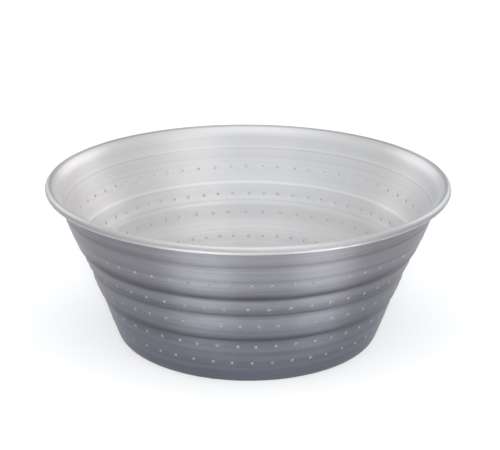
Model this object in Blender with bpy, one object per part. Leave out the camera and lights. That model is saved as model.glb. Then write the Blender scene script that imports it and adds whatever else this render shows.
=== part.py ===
"""A perforated cheese mold: a bowl spun from aluminium sheet, its rim curled over a wire.

Metres, +Z up. The origin is the middle of the underside, so the bowl stands on Z = 0.
"""

import math
import random

import bmesh
import bpy
from mathutils import Matrix, Vector

MM = 0.001

# Overall size
RIM_RADIUS = 150.0 * MM
HEIGHT = 120.0 * MM
SHEET = 1.2 * MM

# Rolled rim: the sheet curls over a wire, and its end stays just clear of the wall
CURL_RADIUS = 2.8 * MM
CURL_START_ANGLE = 120
CURL_END_ANGLE = -150
WIRE_RADIUS = 1.15 * MM
LIP_RADIUS = 12.0 * MM
LIP_LEAN = 17

# Foot: the radius of the flat underside, and the bend from there into the wall
FLAT_RADIUS = 96.3 * MM
FOOT_BEND = 4.0 * MM
FOOT_LEAN = 19

# The three steps, from the lowest: outside radius and height of each step's lower and upper edge
STEPS = (
    ((111.6 * MM, 37.2 * MM), (113.3 * MM, 39.6 * MM)),
    ((119.4 * MM, 59.2 * MM), (121.3 * MM, 61.6 * MM)),
    ((125.8 * MM, 73.4 * MM), (128.1 * MM, 76.0 * MM)),
)

# How far each belt of wall between two steps bulges out, from the lowest
BELT_BULGES = (0.4 * MM, 0.8 * MM, 0.2 * MM, 0.7 * MM)

# Drain holes. Each wall row: height, number of holes, angle of the first, and how much closer
# together (+) or wider apart (-) the holes are at the front than on average
HOLE_RADIUS = 1.05 * MM
HOLE_SIDES = 6
WALL_ROWS = (
    (17.7 * MM, 48, 2.0, 0.00),
    (32.1 * MM, 53, 1.7, -0.06),
    (50.7 * MM, 53, 2.6, 0.05),
    (65.5 * MM, 56, 0.0, -0.06),
    (86.5 * MM, 60, 1.0, 0.00),
)
BASE_ROWS = ((26 * MM, 8), (50 * MM, 12), (74 * MM, 16))
PUNCH_WANDER = 0.8 * MM
PUNCH_LENGTH = 6.0 * MM

# How finely round shapes are cut up
TURN_STEPS = 40
CURL_PIECES = 6
WIRE_SIDES = 6
SHARPEST_SMOOTH_EDGE = math.radians(35)


def clear_scene():
    for obj in list(bpy.data.objects):
        bpy.data.objects.remove(obj, do_unlink=True)


def metal(name, colour, roughness):
    material = bpy.data.materials.new(name)
    material.use_nodes = True
    shader = material.node_tree.nodes["Principled BSDF"]
    shader.inputs["Base Color"].default_value = (*colour, 1.0)
    shader.inputs["Metallic"].default_value = 1.0
    shader.inputs["Roughness"].default_value = roughness
    return material


def add_object(name, mesh, material=None):
    obj = bpy.data.objects.new(name, mesh)
    bpy.context.scene.collection.objects.link(obj)
    if material:
        mesh.materials.append(material)
    return obj


def arc(centre, radius, first, last, pieces):
    """Points on a circle in the (radius, height) plane, angles in degrees, both ends included."""
    points = []
    for i in range(pieces + 1):
        angle = math.radians(first + (last - first) * i / pieces)
        points.append(centre + Vector((math.cos(angle), math.sin(angle))) * radius)
    return points


def bulged(start, end, bulge, pieces):
    """Points from start up to end, bowed outwards by bulge at the middle."""
    outwards = Vector((end.y - start.y, start.x - end.x)).normalized()
    points = []
    for i in range(pieces + 1):
        t = i / pieces
        points.append(start.lerp(end, t) + outwards * bulge * 4 * t * (1 - t))
    return points


def rim_centre():
    """The middle of the rim wire, in the (radius, height) plane."""
    return Vector((RIM_RADIUS - CURL_RADIUS, HEIGHT - CURL_RADIUS))


def outer_face():
    """The outside of the sheet, from the middle of the underside out, up and round the curl."""
    bend = arc(Vector((FLAT_RADIUS, FOOT_BEND)), FOOT_BEND, -90, -FOOT_LEAN, 2)
    curl = arc(rim_centre(), CURL_RADIUS - SHEET, CURL_START_ANGLE, CURL_END_ANGLE, CURL_PIECES)
    lip_centre = curl[0] + (rim_centre() - curl[0]).normalized() * LIP_RADIUS
    lip = arc(lip_centre, LIP_RADIUS, 180 - LIP_LEAN, CURL_START_ANGLE, 2)

    path = [Vector((0, 0))] + bend[:-1]
    belt_start = bend[-1]
    for (lower, upper), bulge in zip(STEPS, BELT_BULGES):
        path += bulged(belt_start, Vector(lower), bulge, 2)
        belt_start = Vector(upper)
    path += bulged(belt_start, lip[0], BELT_BULGES[-1], 2)
    return path + lip[1:-1] + curl


def offset_left(path, distance):
    """The path moved sideways, to the left of its direction, by the same distance everywhere."""
    moved = []
    for i, point in enumerate(path):
        runs = []
        if i > 0:
            runs.append(point - path[i - 1])
        if i < len(path) - 1:
            runs.append(path[i + 1] - point)
        lefts = [Vector((-run.y, run.x)).normalized() for run in runs]
        middle = sum(lefts, Vector((0, 0))).normalized()
        moved.append(point + middle * distance / middle.dot(lefts[0]))
    return moved


def turned(name, profile, material, closed=False):
    """A body of revolution about Z; the profile runs down its outer side."""
    mesh = bpy.data.meshes.new(name)
    edges = [(i, i + 1) for i in range(len(profile) - 1)]
    if closed:
        edges.append((len(profile) - 1, 0))
    mesh.from_pydata([(point.x, 0, point.y) for point in profile], edges, [])
    obj = add_object(name, mesh, material)
    screw = obj.modifiers.new("turn", "SCREW")
    screw.axis = "Z"
    screw.steps = TURN_STEPS
    screw.render_steps = TURN_STEPS
    screw.use_merge_vertices = True
    screw.merge_threshold = 0.02 * MM
    return obj


def wall_point(path, height):
    """Where the path passes a height, and its lean there from the vertical, in radians."""
    for low, high in zip(path[1:], path[2:]):
        if low.y <= height <= high.y:
            radius = low.x + (high.x - low.x) * (height - low.y) / (high.y - low.y)
            return radius, math.atan2(high.x - low.x, high.y - low.y)
    raise ValueError("no wall at that height")


def add_punch(bm, place, direction):
    """One prism through the sheet, with its axis along direction."""
    turn = direction.to_track_quat("Z", "Y").to_matrix().to_4x4()
    bmesh.ops.create_cone(
        bm,
        cap_ends=True,
        segments=HOLE_SIDES,
        radius1=HOLE_RADIUS,
        radius2=HOLE_RADIUS,
        depth=PUNCH_LENGTH,
        matrix=Matrix.Translation(place) @ turn,
    )


def punches(path):
    """A hidden cutter holding every drain hole. The holes wander a little, as if punched by hand."""
    chance = random.Random(4)
    bm = bmesh.new()
    for height, count, first, drift in WALL_ROWS:
        for i in range(count):
            even = math.radians(first) + math.tau * i / count
            level = height + chance.uniform(-0.3, 0.3) * PUNCH_WANDER
            radius, lean = wall_point(path, level)
            angle = even - drift * math.cos(even) + chance.uniform(-1, 1) * PUNCH_WANDER / radius
            out = Vector((math.cos(angle), math.sin(angle), 0))
            direction = out * math.cos(lean) - Vector((0, 0, math.sin(lean)))
            add_punch(bm, out * radius + Vector((0, 0, level)), direction)
    for radius, count in BASE_ROWS:
        for i in range(count):
            angle = math.tau * (i + 0.3) / count
            place = Vector((radius * math.cos(angle), radius * math.sin(angle), SHEET / 2))
            add_punch(bm, place, Vector((0, 0, -1)))
    mesh = bpy.data.meshes.new("punches")
    bm.to_mesh(mesh)
    bm.free()
    cutter = add_object("punches", mesh)
    cutter.hide_render = True
    cutter.display_type = "WIRE"
    return cutter


def settle(obj):
    """Makes the modifiers' result the object's own mesh, smooth but for its sharp edges."""
    graph = bpy.context.evaluated_depsgraph_get()
    solid = bpy.data.meshes.new_from_object(obj.evaluated_get(graph))
    obj.modifiers.clear()
    obj.data = solid
    solid.shade_smooth()
    solid.set_sharp_from_angle(angle=SHARPEST_SMOOTH_EDGE)


def make_shell():
    outside = outer_face()
    inside = offset_left(outside, SHEET)
    aluminium = metal("spun_aluminium", (0.72, 0.73, 0.75), 0.36)
    shell = turned("mould_shell", inside + outside[::-1], aluminium)
    cutter = punches(outside)
    drain_holes = shell.modifiers.new("drain_holes", "BOOLEAN")
    drain_holes.operation = "DIFFERENCE"
    drain_holes.solver = "EXACT"
    drain_holes.object = cutter
    settle(shell)
    bpy.data.objects.remove(cutter, do_unlink=True)


def make_wire():
    steel = metal("rim_wire_steel", (0.60, 0.59, 0.57), 0.42)
    ring = arc(rim_centre(), WIRE_RADIUS, 90, 90 - 360, WIRE_SIDES)[:-1]
    settle(turned("rim_wire", ring, steel, closed=True))


clear_scene()
make_shell()
make_wire()
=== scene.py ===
"""Looks of the perforated cheese mold: the fine spun shell, its wire, the metals, studio and camera."""

import bisect
import math
import random

import bmesh
import bpy
from mathutils import Matrix, Vector, noise
from mathutils.geometry import delaunay_2d_cdt


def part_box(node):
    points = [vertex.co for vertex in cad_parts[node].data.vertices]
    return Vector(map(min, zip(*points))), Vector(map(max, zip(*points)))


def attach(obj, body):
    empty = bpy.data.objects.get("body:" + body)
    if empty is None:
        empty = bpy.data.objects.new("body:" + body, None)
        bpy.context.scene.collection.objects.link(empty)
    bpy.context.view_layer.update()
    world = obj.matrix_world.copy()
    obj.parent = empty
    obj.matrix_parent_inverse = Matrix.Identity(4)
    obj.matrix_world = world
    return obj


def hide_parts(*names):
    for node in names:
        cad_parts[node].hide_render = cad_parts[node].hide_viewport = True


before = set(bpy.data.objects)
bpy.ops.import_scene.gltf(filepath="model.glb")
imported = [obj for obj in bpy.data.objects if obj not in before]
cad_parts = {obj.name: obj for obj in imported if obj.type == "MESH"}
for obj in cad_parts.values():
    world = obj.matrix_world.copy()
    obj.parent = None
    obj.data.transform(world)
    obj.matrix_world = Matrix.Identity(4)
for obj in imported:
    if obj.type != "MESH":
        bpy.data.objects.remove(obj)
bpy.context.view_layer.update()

MM = 0.001

# The design's sizes: the overall ones come from the frame, and the rest are repeated here.
# The rim stays a hair inside the CAD's.
_, top_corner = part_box("mould_shell")
RIM_CLEARANCE = 0.003 * MM
RIM_RADIUS = top_corner.x - RIM_CLEARANCE
HEIGHT = top_corner.z
SHEET = 1.2 * MM
CURL_RADIUS = 2.8 * MM
CURL_START_ANGLE = 120
CURL_END_ANGLE = -150
WIRE_RADIUS = 1.15 * MM
LIP_RADIUS = 12.0 * MM
LIP_LEAN = 17
FLAT_RADIUS = 96.3 * MM
FOOT_BEND = 4.0 * MM
FOOT_LEAN = 19

# The three steps, from the lowest: outside radius and height of each step's lower and upper edge,
# and how far each belt of wall between two steps bulges out
STEPS = (
    ((111.6 * MM, 37.2 * MM), (113.3 * MM, 39.6 * MM)),
    ((119.4 * MM, 59.2 * MM), (121.3 * MM, 61.6 * MM)),
    ((125.8 * MM, 73.4 * MM), (128.1 * MM, 76.0 * MM)),
)
BELT_BULGES = (0.4 * MM, 0.8 * MM, 0.2 * MM, 0.7 * MM)

# Drain holes. Each wall row: height, number of holes, angle of the first, and how much closer
# together (+) or wider apart (-) the holes are at the front than on average. Each base row: radius and
# number of holes.
WALL_ROWS = (
    (17.7 * MM, 48, 2.0, 0.00),
    (32.1 * MM, 53, 1.7, -0.06),
    (50.7 * MM, 53, 2.6, 0.05),
    (65.5 * MM, 56, 0.0, -0.06),
    (86.5 * MM, 60, 1.0, 0.00),
)
BASE_ROWS = ((26 * MM, 8), (50 * MM, 12), (74 * MM, 16))
HOLE_RADIUS = 1.05 * MM
PUNCH_WANDER = 0.8 * MM

# Spacing of the points along the profile: on the wall, in its wide bends, and round the curl
PATH_SPACING = 0.35 * MM
BEND_SPACING = 0.5 * MM
CURL_SPACING = 0.2 * MM

# Fine shape of the sheet: soft corners, one shallow groove, creased steps, tool ripples, a crease inside
# the bead, and slight dents, which fade out between two heights towards the foot and towards the rim
OUTSIDE_SOFTENING = 8
INSIDE_SOFTENING = 160
GROOVE_HEIGHT = 102.2 * MM
GROOVE_DEPTH = 0.3 * MM
GROOVE_WIDTH = 1.6 * MM
CREASE_DEPTH = 0.4 * MM
CREASE_RISE = 0.2 * MM
CREASE_WIDTH = 1.8 * MM
RIPPLE_DEPTH = 0.018 * MM
RIPPLE_LENGTHS = (4.7 * MM, 7.9 * MM)
BEAD_CREASE_DEPTH = 0.3 * MM
BEAD_CREASE_WIDTH = 0.35 * MM
DENT_DEPTH = 0.12 * MM
DENT_SIZE = 38 * MM
DENTS_FADE_AT_FOOT = (4 * MM, 14 * MM)
DENTS_FADE_AT_RIM = (114 * MM, 104 * MM)

# Fine shape of a drain hole: the sheet dips round it, in rings given as multiples of the hole's radius.
# Its edges are broken, and its wall has a waist, at a share of the way through.
HOLE_SIDES = 12
HOLE_CHAMFER = 0.14 * MM
WAIST_SHARE = 0.4
WAIST_DEPTH = 0.32 * MM
DIMPLE_DEPTH = 0.14 * MM
DIMPLE_RINGS = (1.0, 1.4, 2.1)

# Mesh: points all round, and the rings that they form. A band of wall with a row of holes is filled with
# triangles instead, and so is the base.
TURN_STEPS = 180
RING_SPACING = 1.5 * MM
RING_BEND = math.radians(5)
RING_GAP = 0.4 * MM
CREASE_REACH = 3.0
INSIDE_RING_REACH = 1.6
BAND_REACH = 3.2 * MM
FILL_SPACING = 2.0 * MM
BASE_FILL_SPACING = 5.0 * MM
FILL_GAP = HOLE_RADIUS * DIMPLE_RINGS[-1] + 0.5 * FILL_SPACING
INSIDE_THE_EDGES = 1
SAME_PLACE = 1e-7
SHARPEST_SMOOTH_EDGE = math.radians(50)
WIRE_SIDES = 20

# What each point of the sheet tells its material: how near a hole it is, how far the sheet bends there
# (from -1 to 1, a ridge above zero), its painted shade (a painted highlight below zero), and its share of
# the inside's metal, against the outside's darker copy, which is painted shade
LOOKS = ("near_hole", "bend", "painted_shading", "inside")
WAIST_INSIDE = 0.5
BEND_REACH = 0.8 * MM
FULL_BEND = 180.0

# Painted shade outside, under each step: how dark each step is painted, from the lowest, how far that
# reaches below and above the step, and how dark the groove is painted
STEP_PAINTED_SHADE = (0.6, 0.4, 0.75)
PAINTED_SHADE_BELOW = 2.2 * MM
PAINTED_SHADE_ABOVE = 4.6 * MM
GROOVE_PAINTED_SHADE = 0.15

# Lines painted inside: height, how dark they are painted (painted shade) or, below zero, how bright
# (painted highlight), and half width
INSIDE_PAINTED_LINES = (
    (38.0 * MM, 0.08, 0.7 * MM),
    (61.5 * MM, 0.08, 0.7 * MM),
    (73.6 * MM, 0.10, 0.8 * MM),
    (75.6 * MM, -0.8, 0.7 * MM),
    (95.5 * MM, 0.05, 0.5 * MM),
    (102.4 * MM, 0.13, 0.7 * MM),
    (103.8 * MM, -0.4, 0.7 * MM),
)

# The bead, by length along the profile from its crease: painted shade in the crease, mostly left out at the
# front; a painted highlight on the crest, at the front only; and the inside's metal giving way to the
# outside's darker copy, as painted shade
BEAD_CREASE_SHADE = 0.3
BEAD_CREASE_SHADE_WIDTH = 0.6 * MM
BEAD_SHADE_DROPPED_AT_FRONT = 0.85
BEAD_PAINTED_HIGHLIGHT = 0.5
BEAD_CREST = 1.0 * MM
BEAD_CREST_WIDTH = 0.7 * MM
BEAD_SHARE = 0.42
BEAD_FADE = (1.6 * MM, 3.5 * MM)
# Painted shade on the bead beyond its crease, at the sides and back
BEAD_SIDE_SHADE = 0.42

# Metals
# The outside's colours are a darker copy of the same aluminium: painted shade for the dark surroundings it
# reflects
SHADED_OUTSIDE_DARK = (0.155, 0.155, 0.173, 1)
SHADED_OUTSIDE_LIGHT = (0.31, 0.31, 0.331, 1)
# Painted shade, bluish, darkening the outside towards the foot and fading out up to a height
FOOT_PAINTED_SHADE = (0.62, 0.645, 0.73, 1)
FOOT_PAINTED_SHADE_HEIGHT = 100 * MM
INSIDE_DARK = (0.77, 0.77, 0.77, 1)
# Painted light on the inside: warmer and a little brighter on the left, cooler on the right
INSIDE_WARM_LIT = (0.94, 0.9, 0.875, 1)
INSIDE_COOL_LIT = (0.87, 0.88, 0.905, 1)
LIGHT_COOLING_PER_METRE = 3.0
# The outer edges of the holes: bare cut metal, and a painted highlight that makes the holes read as bright
# dots
BARE_EDGE_HIGHLIGHT = (0.35, 0.35, 0.35, 1)
# Painted highlight colour: the bright lines inside and the bead's front crest
PAINTED_HIGHLIGHT_TONE = (0.98, 0.98, 0.98, 1)
# Painted shade colour: under the steps, in the groove, on the dark lines inside and in the bead's crease
PAINTED_SHADE_TONE = (0.05, 0.05, 0.055, 1)
# Painted shade round the holes on the inside, so that they read as dark dots
HOLE_PAINTED_SHADE = 0.15
HOLE_FADE_POWER = 4.0
STEEL_DARK = (0.42, 0.41, 0.39, 1)
STEEL_LIGHT = (0.56, 0.55, 0.53, 1)

# Studio: a bright room, and lights that aim at the bowl or down at the floor
FLOOR_RADIUS = 6.0
FLOOR_SIDES = 64
FLOOR_COLOURS = ((0.92, 0.925, 0.93, 1), (0.94, 0.94, 0.94, 1))
LIGHT_AIM = Vector((0, 0, 0.06))
WORLD_COLOUR = (0.98, 0.99, 1.0, 1)
WORLD_FRONT = 0.92
WORLD_BACK = 0.56
# name, azimuth, elevation, distance, size, radiance
SOFTBOXES = (
    ("front", 40, 18, 1.9, (1.3, 0.8), 0.5),
    ("overhead", 0, 84, 1.6, (1.4, 1.4), 0.4),
    ("back_left", -138, 24, 1.9, (1.5, 1.1), 0.6),
    ("back_right", 138, 24, 1.9, (1.5, 1.1), 0.78),
)
# name, middle of the beam on the floor, elevation, distance, beam's radius, size of the lamp, radiance
FLOOR_SPOTS = (
    ("floor_key", (0, -0.05, 0), 27, 2.5, 0.42, 0.35, 0.8),
    ("pool_left", (-0.075, -0.185, 0), 90, 0.8, 0.075, 0.01, 1.7),
    ("pool_right", (0.125, -0.165, 0), 90, 0.8, 0.075, 0.01, 2.0),
    ("pool_middle", (0.02, -0.22, 0), 90, 0.8, 0.14, 0.01, 0.4),
)
BACKDROP_PLACE = Vector((0, 1.8, 1.5))
BACKDROP_SIZE = (3.2, 1.6)
BACKDROP_RADIANCE = 0.9
BACKDROP_SPREAD = math.radians(60)

# Camera
CAMERA_PLACE = (1.5 * MM, -883.6 * MM, 400.8 * MM)
CAMERA_PITCH = 19.86
CAMERA_ROLL = 0.0058
CAMERA_LENS = 89.4


# ------------------------------------------------------------------ small sums

def polar(angle, radius):
    """A point of the plane, by its angle and its distance from the middle."""
    return Vector((math.cos(angle), math.sin(angle))) * radius


def smooth_step(low, high, value):
    """From 0 at low to 1 at high, level beyond them."""
    t = min(1.0, max(0.0, (value - low) / (high - low)))
    return t * t * (3 - 2 * t)


def hump(offset, width):
    """A round hump: 1 at an offset of zero, and near zero from twice the width on."""
    return math.exp(-(offset / width) ** 2)


def join_loops(faces, low, high):
    """Adds the quads between two closed loops of points."""
    for i in range(len(low)):
        j = (i + 1) % len(low)
        faces.append((low[i], low[j], high[j], high[i]))


# ------------------------------------------------------------------ profile of the sheet

def arc(centre, radius, first, last, spacing):
    """Points on a circle in the (radius, height) plane, angles in degrees, both ends included."""
    pieces = max(4, math.ceil(abs(math.radians(last - first)) * radius / spacing))
    angles = (math.radians(first + (last - first) * i / pieces) for i in range(pieces + 1))
    return [centre + polar(angle, radius) for angle in angles]


def bulged(start, end, bulge):
    """Points from start up to end, bowed outwards by bulge at the middle."""
    outwards = Vector((end.y - start.y, start.x - end.x)).normalized()
    pieces = math.ceil((end - start).length / PATH_SPACING)
    points = []
    for i in range(pieces + 1):
        t = i / pieces
        points.append(start.lerp(end, t) + outwards * bulge * 4 * t * (1 - t))
    return points


def softened(path, passes):
    """The path with its corners rounded off, its ends kept."""
    for _ in range(passes):
        inner = [(a + b * 2 + c) / 4 for a, b, c in zip(path, path[1:], path[2:])]
        path = [path[0]] + inner + [path[-1]]
    return path


def tool_marks(height):
    """How far the wall's outside is sunk at a height, by the groove, the steps and the tool's ripples."""
    sunk = GROOVE_DEPTH * hump(height - GROOVE_HEIGHT, GROOVE_WIDTH)
    for lower, upper in STEPS:
        sunk += CREASE_DEPTH * hump(height - lower[1], CREASE_WIDTH)
        sunk -= CREASE_RISE * hump(height - upper[1], CREASE_WIDTH)
    for length in RIPPLE_LENGTHS:
        sunk += RIPPLE_DEPTH * math.sin(math.tau * height / length)
    return sunk


def rim_centre():
    """The middle of the rim wire, in the (radius, height) plane."""
    return Vector((RIM_RADIUS - CURL_RADIUS, HEIGHT - CURL_RADIUS))


def outer_paths():
    """The outside of the sheet, from the edge of the flat underside up and round the curl, a softer copy of
    it, which the inner face follows because the steps were pressed in from outside, and the index at which
    the curl starts.
    """
    bend = arc(Vector((FLAT_RADIUS, FOOT_BEND)), FOOT_BEND, -90, -FOOT_LEAN, BEND_SPACING)
    curl = arc(rim_centre(), CURL_RADIUS - SHEET, CURL_START_ANGLE, CURL_END_ANGLE, CURL_SPACING)
    lip_centre = curl[0] + (rim_centre() - curl[0]).normalized() * LIP_RADIUS
    lip = arc(lip_centre, LIP_RADIUS, 180 - LIP_LEAN, CURL_START_ANGLE, BEND_SPACING)

    wall = []
    belt_start = bend[-1]
    for (lower, upper), bulge in zip(STEPS, BELT_BULGES):
        wall += bulged(belt_start, Vector(lower), bulge)
        wall += bulged(Vector(lower), Vector(upper), 0)[1:-1]
        belt_start = Vector(upper)
    wall += bulged(belt_start, lip[0], BELT_BULGES[-1])
    crisp = [point - Vector((tool_marks(point.y), 0)) for point in softened(wall, OUTSIDE_SOFTENING)]
    soft = softened(wall, INSIDE_SOFTENING)
    paths = [bend[:-1] + middle + lip[1:-1] + curl for middle in (crisp, soft)]
    return paths[0], paths[1], len(paths[0]) - len(curl)


def offset_left(path, distance):
    """The path moved sideways, to the left of its direction, by the same distance everywhere."""
    moved = []
    for i, point in enumerate(path):
        runs = []
        if i > 0:
            runs.append(point - path[i - 1])
        if i < len(path) - 1:
            runs.append(path[i + 1] - point)
        lefts = [Vector((-run.y, run.x)).normalized() for run in runs]
        middle = sum(lefts, Vector((0, 0))).normalized()
        moved.append(point + middle * distance / middle.dot(lefts[0]))
    return moved


# ------------------------------------------------------------------ painted shade and highlights

def step_painted_shade(height):
    """How much painted shade the outside has at a height: most at each step, fading quickly below and
    slowly above.
    """
    painted_shading = GROOVE_PAINTED_SHADE * hump(height - GROOVE_HEIGHT, GROOVE_WIDTH)
    for (lower, upper), amount in zip(STEPS, STEP_PAINTED_SHADE):
        above = height - (lower[1] + upper[1]) / 2
        painted_shading += amount * hump(above, PAINTED_SHADE_ABOVE if above > 0 else PAINTED_SHADE_BELOW)
    return painted_shading


def inside_line_shading(height):
    """The inside's painted shade at a height, by its painted lines; a painted highlight below zero."""
    return sum(amount * hump(height - ring, width) for ring, amount, width in INSIDE_PAINTED_LINES)


def bead_looks(along, at_front):
    """How much painted shade the bead has at a length along from its crease (a painted highlight below
    zero), and its share of the inside's metal there, the rest being the outside's darker, shaded copy.
    at_front is 1 at the front of the bowl and 0 at its sides and back.
    """
    painted_shading = BEAD_CREASE_SHADE * (1 - BEAD_SHADE_DROPPED_AT_FRONT * at_front) * hump(along, BEAD_CREASE_SHADE_WIDTH)
    painted_shading -= BEAD_PAINTED_HIGHLIGHT * at_front * hump(along - BEAD_CREST, BEAD_CREST_WIDTH)
    share = 1 - (1 - BEAD_SHARE) * smooth_step(*BEAD_FADE, along)
    share *= 1 - BEAD_SIDE_SHADE * (1 - at_front) * smooth_step(0, BEAD_CREST, along)
    return painted_shading, share


# ------------------------------------------------------------------ the sheet as a mesh

class Patch:
    """A stretch of the sheet, laid out flat by a function of (angle, length), to fill with triangles."""

    def __init__(self, flatten):
        self.flatten = flatten
        self.places = []
        self.numbers = []
        self.edges = []
        self.holes = []

    def add(self, angle, length, number):
        """Adds a point of the sheet, by its number there, and gives its index here."""
        self.places.append(self.flatten(angle, length))
        self.numbers.append(number)
        return len(self.places) - 1

    def join(self, indices):
        """Keeps the edges along a run of points."""
        self.edges += zip(indices, indices[1:])

    def add_hole(self, rings):
        """Adds the rings of points round a hole, the hole's own edge first, as (angle, length, number)."""
        for ring in rings:
            indices = [self.add(*point) for point in ring]
            self.join(indices + indices[:1])
        self.holes.append({number for _, _, number in rings[0]})

    def triangles(self):
        """Triangles of numbers over the whole patch, leaving out the inside of each hole."""
        result = delaunay_2d_cdt(self.places, self.edges, [], INSIDE_THE_EDGES, SAME_PLACE, True)
        _, _, faces, origins, _, _ = result
        kept = []
        for face in faces:
            corners = tuple(self.numbers[origins[i][0]] for i in face)
            if not any(hole.issuperset(corners) for hole in self.holes):
                kept.append(corners)
        return kept


class Sheet:
    """Both faces of the spun sheet. Point k of the outer face lies opposite point k of the inner one.

    A place on the sheet is an angle about Z and a length along the profile from the middle of the
    underside, so that on the flat underside the length is the radius.
    """

    def __init__(self, outside, outside_softened, curl_start):
        self.outside = [Vector((0, 0))] + outside
        self.inside = offset_left([Vector((0, 0))] + outside_softened, SHEET)
        self.lengths = [0.0]
        for a, b in zip(self.outside, self.outside[1:]):
            self.lengths.append(self.lengths[-1] + (b - a).length)
        self.bead_crease = self.lengths[curl_start + 1]
        self.outer = []
        self.inner = []
        self.outer_looks = []
        self.inner_looks = []
        self.faces = []
        self.holes = []
        self.rings = {}

    def section(self, length):
        """The outer point at a length and the step from it across the sheet, as (radius, height)."""
        i = min(bisect.bisect_right(self.lengths, length), len(self.lengths) - 1) - 1
        t = (length - self.lengths[i]) / (self.lengths[i + 1] - self.lengths[i])
        outer = self.outside[i].lerp(self.outside[i + 1], t)
        thinning = BEAD_CREASE_DEPTH / SHEET * hump(length - self.bead_crease, BEAD_CREASE_WIDTH)
        return outer, (self.inside[i].lerp(self.inside[i + 1], t) - outer) * (1 - thinning)

    def bend_at(self, length):
        """How sharply the profile bends round a length, from -1 to 1; a ridge outside is above zero."""
        low, here, high = (self.section(length + step)[0] for step in (-BEND_REACH, 0, BEND_REACH))
        if min((here - low).length, (high - here).length) < 0.5 * BEND_REACH:
            return 0.0
        turn = (here - low).angle_signed(high - here)
        return max(-1.0, min(1.0, -turn / BEND_REACH / FULL_BEND))

    def length_at(self, height):
        """The length at which the wall passes a height."""
        for i, (a, b) in enumerate(zip(self.outside, self.outside[1:])):
            if a.y <= height <= b.y and b.y > a.y:
                t = (height - a.y) / (b.y - a.y)
                return self.lengths[i] + t * (self.lengths[i + 1] - self.lengths[i])
        raise ValueError("no wall at that height")

    def add(self, angle, length, push=0.0, near_hole=0.0):
        """A new pair of points, pushed outwards, and its number."""
        outer, across = self.section(length)
        inner = outer + across
        turned = polar(angle, 1)
        spot = Vector((*(turned * outer.x), outer.y))
        dents = smooth_step(*DENTS_FADE_AT_FOOT, outer.y) * smooth_step(*DENTS_FADE_AT_RIM, outer.y)
        push += DENT_DEPTH * dents * noise.noise(spot / DENT_SIZE)
        for face, point in ((self.outer, outer), (self.inner, inner)):
            pushed = point - across.normalized() * push
            face.append(Vector((*(turned * pushed.x), pushed.y)))

        bend = self.bend_at(length)
        along = length - self.bead_crease
        # The outside's painted shade under the steps and in the groove
        outer_painted_shade = step_painted_shade(outer.y) if along < 0 else 0.0
        bead_shading, inside_share = bead_looks(along, max(0.0, -turned.y) ** 2)
        self.outer_looks.append((near_hole, bend, outer_painted_shade, 0.0))
        self.inner_looks.append((near_hole, -bend, bead_shading + inside_line_shading(inner.y), inside_share))
        return len(self.outer) - 1

    def ring(self, length):
        """The numbers of the points all round at one length."""
        if length not in self.rings:
            turns = [math.tau * i / TURN_STEPS for i in range(TURN_STEPS)]
            self.rings[length] = [self.add(angle, length) for angle in turns]
        return self.rings[length]

    def punch(self, angle, length, in_base):
        """The rings of points round a hole, from its edge outwards, as (angle, length, number) each."""
        radius = self.section(length)[0].x
        rings = []
        for step, widening in enumerate(DIMPLE_RINGS):
            share = step / (len(DIMPLE_RINGS) - 1)
            push = DIMPLE_DEPTH * (1 - smooth_step(0, 1, share))
            ring = []
            for i in range(HOLE_SIDES):
                offset = polar(math.tau * (i + step / 2) / HOLE_SIDES, HOLE_RADIUS * widening)
                if in_base:
                    place = polar(angle, length) + offset
                    spot = (math.atan2(place.y, place.x), place.length)
                else:
                    spot = (angle + offset.x / radius, length + offset.y)
                ring.append((*spot, self.add(*spot, -push if in_base else push, 1 - share)))
            rings.append(ring)
        self.holes.append([number for _, _, number in rings[0]])
        return rings

    def fill_band(self, low, high, holes):
        """The stretch of wall between two rings, with a row of holes given as (angle, length)."""
        pitch = math.tau / TURN_STEPS
        first = round((holes[0][0] + holes[-1][0] - math.tau) / 2 / pitch)
        start = first * pitch
        radius = self.section((low + high) / 2)[0].x
        patch = Patch(lambda angle, length: Vector(((angle - start) * radius, length)))

        ends = []
        for length in (low, high):
            ring = self.ring(length)
            turns = [(start + i * pitch, ring[(first + i) % TURN_STEPS]) for i in range(TURN_STEPS + 1)]
            row = [patch.add(angle, length, number) for angle, number in turns]
            patch.join(row)
            ends.append((row[0], row[-1]))
        for angle, length in holes:
            patch.add_hole(self.punch(start + (angle - start) % math.tau, length, False))

        rows = round((high - low) / FILL_SPACING)
        columns = round(math.tau * radius / FILL_SPACING)
        left, right = [ends[0][0]], [ends[0][1]]
        for row in range(1, rows):
            length = low + (high - low) * row / rows
            number = self.add(start, length)
            left.append(patch.add(start, length, number))
            right.append(patch.add(start + math.tau, length, number))
            for column in range(1, columns - 1):
                angle = start + math.tau * (column + 0.5 * (row % 2)) / columns
                gaps = [math.hypot(((angle - a + math.pi) % math.tau - math.pi) * radius, length - b)
                        for a, b in holes]
                if min(gaps) > FILL_GAP:
                    patch.add(angle, length, self.add(angle, length))
        patch.join(left + [ends[1][0]])
        patch.join(right + [ends[1][1]])
        self.faces += patch.triangles()

    def fill_base(self, edge, holes):
        """The flat base out to a ring, with holes given as (angle, radius)."""
        patch = Patch(polar)
        rim = [patch.add(math.tau * i / TURN_STEPS, edge, k) for i, k in enumerate(self.ring(edge))]
        patch.join(rim + rim[:1])
        for angle, radius in holes:
            patch.add_hole(self.punch(angle, radius, True))

        middles = [polar(angle, radius) for angle, radius in holes]
        patch.add(0.0, 0.0, self.add(0.0, 0.0))
        rounds = int(edge / BASE_FILL_SPACING)
        for r in range(1, rounds):
            radius = edge * r / rounds
            count = round(math.tau * radius / BASE_FILL_SPACING)
            for i in range(count):
                angle = math.tau * (i + 0.5 * (r % 2)) / count
                spot = polar(angle, radius)
                if min((spot - middle).length for middle in middles) > FILL_GAP:
                    patch.add(angle, radius, self.add(angle, radius))
        self.faces += [face[::-1] for face in patch.triangles()]

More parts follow.
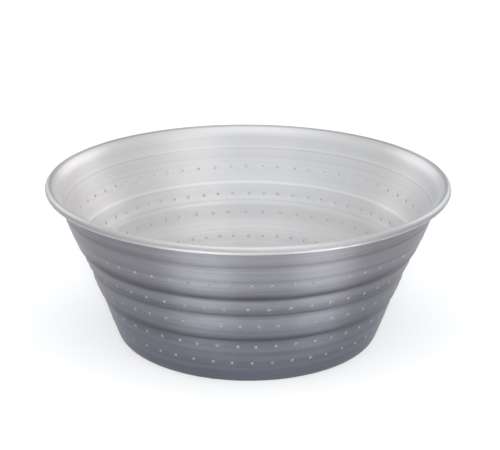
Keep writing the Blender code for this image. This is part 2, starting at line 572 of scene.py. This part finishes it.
    def line_hole(self, hole, points, looks):
        """Adds the points of one hole's wall, and gives its loops from the outer face to the inner one."""
        ends = (hole, [k + len(self.outer) for k in hole])
        middles = [sum((points[k] for k in end), Vector()) / len(end) for end in ends]
        through = (middles[1] - middles[0]).normalized()

        def add_point(point, inside):
            points.append(point)
            looks.append((1.0, 0.0, 0.0, inside))
            return len(points) - 1

        edges = []
        for end, middle, way, inside in zip(ends, middles, (through, -through), (0.0, 1.0)):
            edge = []
            for k in end:
                inwards = (middle - points[k]).normalized()
                edge.append(add_point(points[k] + (inwards + way) * HOLE_CHAMFER, inside))
            edges.append(edge)
        waist = []
        for outer, inner in zip(*edges):
            point = points[outer].lerp(points[inner], WAIST_SHARE)
            centre = middles[0] + through * (point - middles[0]).dot(through)
            point = point.lerp(centre, WAIST_DEPTH / (point - centre).length)
            waist.append(add_point(point, WAIST_INSIDE))
        return ends[0], edges[0], waist, edges[1], ends[1]

    def mesh(self, name):
        """One closed mesh: both faces, the walls of the holes, and the end of the curl."""
        points = self.outer + self.inner
        looks = self.outer_looks + self.inner_looks
        shift = len(self.outer)
        faces = self.faces + [tuple(k + shift for k in reversed(face)) for face in self.faces]
        end = self.ring(max(self.rings))
        join_loops(faces, end, [k + shift for k in end])
        for hole in self.holes:
            loops = self.line_hole(hole, points, looks)
            for low, high in zip(loops, loops[1:]):
                join_loops(faces, low, high)

        mesh = bpy.data.meshes.new(name)
        mesh.from_pydata(points, [], faces)
        for label, values in zip(LOOKS, zip(*looks)):
            mesh.attributes.new(label, "FLOAT", "POINT").data.foreach_set("value", values)
        tidy = bmesh.new()
        tidy.from_mesh(mesh)
        bmesh.ops.recalc_face_normals(tidy, faces=tidy.faces)
        tidy.to_mesh(mesh)
        tidy.free()
        mesh.shade_smooth()
        mesh.set_sharp_from_angle(angle=SHARPEST_SMOOTH_EDGE)
        return mesh


def ring_lengths(sheet, bands):
    """Lengths of the sheet's rings: close where it bends or its looks change, and none inside a band."""
    chosen = [sheet.lengths[1]]
    turned = 0.0
    path = sheet.outside
    for i in range(2, len(path) - 1):
        turned += abs((path[i + 1] - path[i]).angle_signed(path[i] - path[i - 1]))
        length = sheet.lengths[i]
        by_crease = abs(length - sheet.bead_crease) < CREASE_REACH * BEAD_CREASE_WIDTH
        by_ring = any(abs(path[i].y - ring) < INSIDE_RING_REACH * width for ring, _, width in INSIDE_PAINTED_LINES)
        if turned > RING_BEND or length - chosen[-1] > RING_SPACING or by_crease or by_ring:
            chosen.append(length)
            turned = 0.0
    chosen.append(sheet.lengths[-1])
    clear = [c for c in chosen if not any(a - RING_GAP < c < b + RING_GAP for a, b in bands)]
    return sorted(clear + [edge for band in bands for edge in band])


def punched_sheet():
    """The whole sheet with its drain holes, which wander a little, as if punched by hand."""
    sheet = Sheet(*outer_paths())
    chance = random.Random(4)
    bands = {}
    for height, count, first, drift in WALL_ROWS:
        holes = []
        for i in range(count):
            even = math.radians(first) + math.tau * i / count
            level = height + chance.uniform(-0.3, 0.3) * PUNCH_WANDER
            length = sheet.length_at(level)
            radius = sheet.section(length)[0].x
            wander = chance.uniform(-1, 1) * PUNCH_WANDER / radius
            holes.append((even - drift * math.cos(even) + wander, length))
        middle = sheet.length_at(height)
        bands[middle - BAND_REACH, middle + BAND_REACH] = holes

    lengths = ring_lengths(sheet, bands)
    for low, high in zip(lengths, lengths[1:]):
        if (low, high) in bands:
            sheet.fill_band(low, high, bands[low, high])
        else:
            join_loops(sheet.faces, sheet.ring(low), sheet.ring(high))
    base_holes = []
    for radius, count in BASE_ROWS:
        base_holes += [(math.tau * (i + 0.3) / count, radius) for i in range(count)]
    sheet.fill_base(lengths[0], base_holes)
    return sheet


# ------------------------------------------------------------------ materials

class Nodes:
    """A new material and short ways to add its nodes. An input is a number, a colour or a node's output."""

    def __init__(self, name):
        self.material = bpy.data.materials.new(name)
        self.material.use_nodes = True
        self.tree = self.material.node_tree
        self.shader = self.tree.nodes["Principled BSDF"]

    def put(self, made, inputs):
        for socket, value in inputs.items():
            if isinstance(value, bpy.types.NodeSocket):
                self.tree.links.new(value, made.inputs[socket])
            else:
                made.inputs[socket].default_value = value

    def add(self, kind, inputs, output=0, **settings):
        made = self.tree.nodes.new("ShaderNode" + kind)
        for setting, value in settings.items():
            setattr(made, setting, value)
        self.put(made, inputs)
        return made.outputs[output]

    def maths(self, operation, *values, clamp=False):
        return self.add("Math", dict(enumerate(values)), operation=operation, use_clamp=clamp)

    def vector(self, operation, *values, output=0):
        return self.add("VectorMath", dict(enumerate(values)), output, operation=operation)

    def attribute(self, name):
        return self.add("Attribute", {}, "Fac", attribute_name=name)

    def place(self):
        return self.add("TexCoord", {}, "Object")

    def coordinate(self, axis):
        return self.add("SeparateXYZ", {0: self.place()}, axis)

    def noise(self, vector, scale, detail, roughness):
        sockets = {"Vector": vector, "Scale": scale, "Detail": detail, "Roughness": roughness}
        return self.add("TexNoise", sockets)

    def clouds(self, scale, detail, roughness):
        return self.noise(self.place(), scale, detail, roughness)

    def spread(self, value, low, high):
        """value, from 0.3 to 0.7 as noise mostly runs, spread out to low to high."""
        sockets = {"Value": value, "From Min": 0.3, "From Max": 0.7, "To Min": low, "To Max": high}
        return self.add("MapRange", sockets)

    def blend(self, factor, first, second, blend_type="MIX"):
        mix = self.tree.nodes.new("ShaderNodeMix")
        mix.data_type = "RGBA"
        mix.blend_type = blend_type
        self.put(mix, {0: factor, 6: first, 7: second})
        return mix.outputs[2]

    def turned_noise(self, stretch, scale, detail, roughness):
        """Noise drawn out into rings about Z, as a lathe leaves it; a small stretch gives long rings."""
        flat = self.vector("MULTIPLY", self.place(), (1, 1, 0))
        radius = self.vector("LENGTH", flat, output="Value")
        track = self.add("CombineXYZ", {"Z": self.maths("ADD", radius, self.coordinate("Z"))})
        around = self.vector("MULTIPLY", self.vector("NORMALIZE", flat), (stretch,) * 3)
        across = self.vector("MULTIPLY", track, (scale,) * 3)
        return self.noise(self.vector("ADD", around, across), 1.0, detail, roughness)

    def ridges(self, height, strength, depth):
        bump = self.add("Bump", {"Strength": strength, "Distance": depth, "Height": height})
        self.put(self.shader, {"Normal": bump})


def spun_aluminium():
    """Dull, spun aluminium: rings from the tool, cloudy oxide, painted shade under the steps, on lines
    inside, in the bead's crease and round the holes inside, painted highlights, and a darker, shaded copy
    of the metal outside.
    """
    nodes = Nodes("spun_aluminium_fine")
    bands = nodes.turned_noise(stretch=0.35, scale=230.0, detail=2.0, roughness=0.5)
    lines = nodes.turned_noise(stretch=1.7, scale=900.0, detail=5.0, roughness=0.65)
    scratches = nodes.turned_noise(stretch=14.0, scale=2600.0, detail=2.0, roughness=0.6)
    clouds = nodes.clouds(scale=21.0, detail=5.0, roughness=0.6)
    tint = nodes.clouds(scale=6.0, detail=2.0, roughness=0.5)
    spots = nodes.clouds(scale=260.0, detail=3.0, roughness=0.6)

    ridge = nodes.maths("MULTIPLY", nodes.attribute("bend"), 1.0, clamp=True)
    within = nodes.attribute("inside")
    # The painted shading: painted shade at the steps, groove, inside lines and bead crease, painted
    # highlights below zero
    marks = nodes.attribute("painted_shading")
    painted_shading = nodes.maths("MULTIPLY", marks, nodes.spread(clouds, 0.85, 1.15), clamp=True)
    # Painted highlights, where the painted shading is below zero
    painted_highlight = nodes.maths("MULTIPLY", marks, nodes.spread(spots, -1.2, -0.6), clamp=True)
    at_hole = nodes.maths("POWER", nodes.attribute("near_hole"), HOLE_FADE_POWER)
    hole_inside = nodes.maths("MULTIPLY", at_hole, within)
    hole_outside = nodes.maths("SUBTRACT", at_hole, hole_inside)

    tone = nodes.maths("ADD", nodes.spread(bands, 0.0, 0.35), nodes.spread(lines, 0.0, 0.35))
    tone = nodes.maths("ADD", tone, nodes.spread(clouds, 0.0, 0.3))
    # Painted shade on the outside, darker and bluer towards the foot
    sockets = {"Value": nodes.coordinate("Z"), "From Max": FOOT_PAINTED_SHADE_HEIGHT}
    foot_shade = nodes.blend(nodes.add("MapRange", sockets), FOOT_PAINTED_SHADE, (1, 1, 1, 1))
    # The outside: a darker, shaded copy of the metal, as painted shade
    outside = nodes.blend(1.0, nodes.blend(tone, SHADED_OUTSIDE_DARK, SHADED_OUTSIDE_LIGHT), foot_shade, "MULTIPLY")
    patches = nodes.spread(tint, 0.1, 0.9)
    # Painted light: the inside goes from warm on the left to cool on the right, with random patches
    warm_to_cool_light = nodes.maths("MULTIPLY_ADD", nodes.coordinate("X"), LIGHT_COOLING_PER_METRE, patches, clamp=True)
    inside = nodes.blend(tone, INSIDE_DARK, nodes.blend(warm_to_cool_light, INSIDE_WARM_LIT, INSIDE_COOL_LIT))
    colour = nodes.blend(within, outside, inside)
    # Painted shade under the steps, in the groove, on the lines inside and in the bead crease
    colour = nodes.blend(painted_shading, colour, PAINTED_SHADE_TONE)
    # Painted shade round the holes inside
    colour = nodes.blend(nodes.maths("MULTIPLY", hole_inside, HOLE_PAINTED_SHADE), colour, PAINTED_SHADE_TONE)
    # Bare cut metal and a painted highlight at the outer edges of the holes
    colour = nodes.blend(hole_outside, colour, BARE_EDGE_HIGHLIGHT)
    # Painted highlights
    colour = nodes.blend(painted_highlight, colour, PAINTED_HIGHLIGHT_TONE)

    rough = nodes.maths("ADD", nodes.spread(clouds, 0.4, 0.5), nodes.spread(lines, -0.03, 0.03))
    rough = nodes.maths("ADD", rough, nodes.maths("MULTIPLY", painted_shading, 0.12))
    rough = nodes.maths("SUBTRACT", rough, nodes.maths("MULTIPLY", ridge, 0.06))

    sockets = {"Base Color": colour, "Metallic": 1.0, "Roughness": rough}
    sockets |= {"Anisotropic": 0.75, "Anisotropic Rotation": 0.25}
    sockets["Tangent"] = nodes.add("Tangent", {}, direction_type="RADIAL", axis="Z")
    nodes.put(nodes.shader, sockets)
    grain = nodes.maths("ADD", lines, nodes.maths("MULTIPLY", scratches, 0.5))
    grain = nodes.maths("ADD", grain, nodes.maths("MULTIPLY", spots, 0.3))
    nodes.ridges(grain, strength=0.25, depth=0.06 * MM)
    return nodes.material


def drawn_steel():
    """Drawn steel wire, its fine scratches running along it."""
    nodes = Nodes("drawn_steel_fine")
    streaks = nodes.turned_noise(stretch=2.5, scale=5200.0, detail=3.0, roughness=0.6)
    clouds = nodes.clouds(scale=90.0, detail=4.0, roughness=0.6)
    colour = nodes.blend(nodes.spread(clouds, 0.0, 1.0), STEEL_DARK, STEEL_LIGHT)
    rough = nodes.maths("ADD", nodes.spread(streaks, 0.3, 0.42), nodes.spread(clouds, 0.1, 0.0))
    nodes.put(nodes.shader, {"Base Color": colour, "Metallic": 1.0, "Roughness": rough})
    nodes.ridges(streaks, strength=0.3, depth=0.04 * MM)
    return nodes.material


def pale_floor():
    nodes = Nodes("pale_floor")
    clouds = nodes.clouds(scale=3.0, detail=3.0, roughness=0.5)
    colour = nodes.blend(nodes.spread(clouds, 0.0, 1.0), *FLOOR_COLOURS)
    nodes.put(nodes.shader, {"Base Color": colour, "Roughness": 0.75, "Specular IOR Level": 0.2})
    return nodes.material


# ------------------------------------------------------------------ pieces

def add_piece(name, mesh, material):
    piece = bpy.data.objects.new(name, mesh)
    mesh.materials.append(material)
    bpy.context.scene.collection.objects.link(piece)
    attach(piece, "root")
    return piece


def make_shell():
    mesh = punched_sheet().mesh("spun_shell")
    shell = add_piece("spun_shell", mesh, spun_aluminium())
    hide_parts("mould_shell")


def make_wire():
    """The wire that the rim is curled over."""
    section = [rim_centre() + polar(math.tau * j / WIRE_SIDES, WIRE_RADIUS) for j in range(WIRE_SIDES)]
    points, faces = [], []
    for i in range(TURN_STEPS):
        points += [(*polar(math.tau * i / TURN_STEPS, place.x), place.y) for place in section]
        here = [i * WIRE_SIDES + j for j in range(WIRE_SIDES)]
        after = [(i + 1) % TURN_STEPS * WIRE_SIDES + j for j in range(WIRE_SIDES)]
        join_loops(faces, after, here)
    mesh = bpy.data.meshes.new("rim_wire_round")
    mesh.from_pydata(points, [], faces)
    mesh.shade_smooth()
    wire = add_piece("rim_wire_round", mesh, drawn_steel())
    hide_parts("rim_wire")


# ------------------------------------------------------------------ studio and camera

def make_floor():
    mesh = bpy.data.meshes.new("floor")
    ring = [(*polar(math.tau * i / FLOOR_SIDES, FLOOR_RADIUS), 0) for i in range(FLOOR_SIDES)]
    mesh.from_pydata(ring, [], [tuple(range(FLOOR_SIDES))])
    mesh.materials.append(pale_floor())
    floor = bpy.data.objects.new("floor", mesh)
    bpy.context.scene.collection.objects.link(floor)


def direction(azimuth, elevation):
    """The way to a place above the floor. Azimuth is in degrees from the camera's side, to the right."""
    turn = math.radians(azimuth)
    rise = math.radians(elevation)
    return Vector((math.sin(turn) * math.cos(rise), -math.cos(turn) * math.cos(rise), math.sin(rise)))


def add_light(name, kind, place, way, **settings):
    """A light at a place, which shines back along way and is hidden from the camera."""
    light = bpy.data.lights.new(name, kind)
    for setting, value in settings.items():
        setattr(light, setting, value)
    lamp = bpy.data.objects.new(name, light)
    bpy.context.scene.collection.objects.link(lamp)
    lamp.location = place
    lamp.rotation_euler = way.to_track_quat("Z", "Y").to_euler()
    lamp.visible_camera = False
    return lamp


def panel(size, radiance):
    """The settings of a rectangular light of a radiance."""
    energy = radiance * size[0] * size[1] * math.pi
    return {"shape": "RECTANGLE", "size": size[0], "size_y": size[1], "energy": energy}


def soft_light(name, azimuth, elevation, distance, size, radiance):
    """A softbox that faces the bowl."""
    way = direction(azimuth, elevation)
    add_light(name, "AREA", LIGHT_AIM + way * distance, way, **panel(size, radiance))


def floor_spot(name, place, elevation, distance, radius, softness, radiance):
    """A round beam on the floor. The metal shows it only by reflecting the floor."""
    way = direction(0, elevation)
    beam = {
        "spot_size": 2 * math.atan(radius / distance),
        "spot_blend": 1.0,
        "shadow_soft_size": softness,
        "energy": radiance * 4 * math.pi ** 2 * distance ** 2 / way.z,
    }
    spot = add_light(name, "SPOT", Vector(place) + way * distance, way, **beam)
    spot.visible_glossy = False


def light_backdrop():
    """A panel that shines straight down on the floor behind the bowl, narrow enough to miss the bowl."""
    settings = panel(BACKDROP_SIZE, BACKDROP_RADIANCE) | {"spread": BACKDROP_SPREAD}
    add_light("backdrop", "AREA", BACKDROP_PLACE, Vector((0, 0, 1)), **settings)


def light_room():
    """The room's own light, brightest at the front."""
    world = bpy.data.worlds.new("studio")
    bpy.context.scene.world = world
    world.use_nodes = True
    tree = world.node_tree
    background = tree.nodes["Background"]
    background.inputs["Color"].default_value = WORLD_COLOUR
    way = tree.nodes.new("ShaderNodeTexCoord").outputs["Generated"]
    parts = tree.nodes.new("ShaderNodeSeparateXYZ")
    tree.links.new(way, parts.inputs[0])
    front_to_back = tree.nodes.new("ShaderNodeMapRange")
    front_to_back.interpolation_type = "SMOOTHSTEP"
    tree.links.new(parts.outputs["Y"], front_to_back.inputs["Value"])
    for socket, value in (("From Min", -1), ("To Min", WORLD_FRONT), ("To Max", WORLD_BACK)):
        front_to_back.inputs[socket].default_value = value
    tree.links.new(front_to_back.outputs[0], background.inputs["Strength"])


def make_studio():
    light_room()
    for light in SOFTBOXES:
        soft_light(*light)
    for spot in FLOOR_SPOTS:
        floor_spot(*spot)
    light_backdrop()
    bpy.context.scene.view_settings.view_transform = "Standard"


def make_camera():
    camera = bpy.data.objects.new("camera", bpy.data.cameras.new("camera"))
    bpy.context.scene.collection.objects.link(camera)
    turn = Matrix.Rotation(math.radians(90 - CAMERA_PITCH), 4, "X") @ Matrix.Rotation(CAMERA_ROLL, 4, "Z")
    camera.matrix_world = Matrix.Translation(CAMERA_PLACE) @ turn
    camera.data.sensor_width = 36
    camera.data.lens = CAMERA_LENS
    camera.data.clip_start = 0.01
    bpy.context.scene.camera = camera


make_shell()
make_wire()
make_floor()
make_studio()
make_camera()
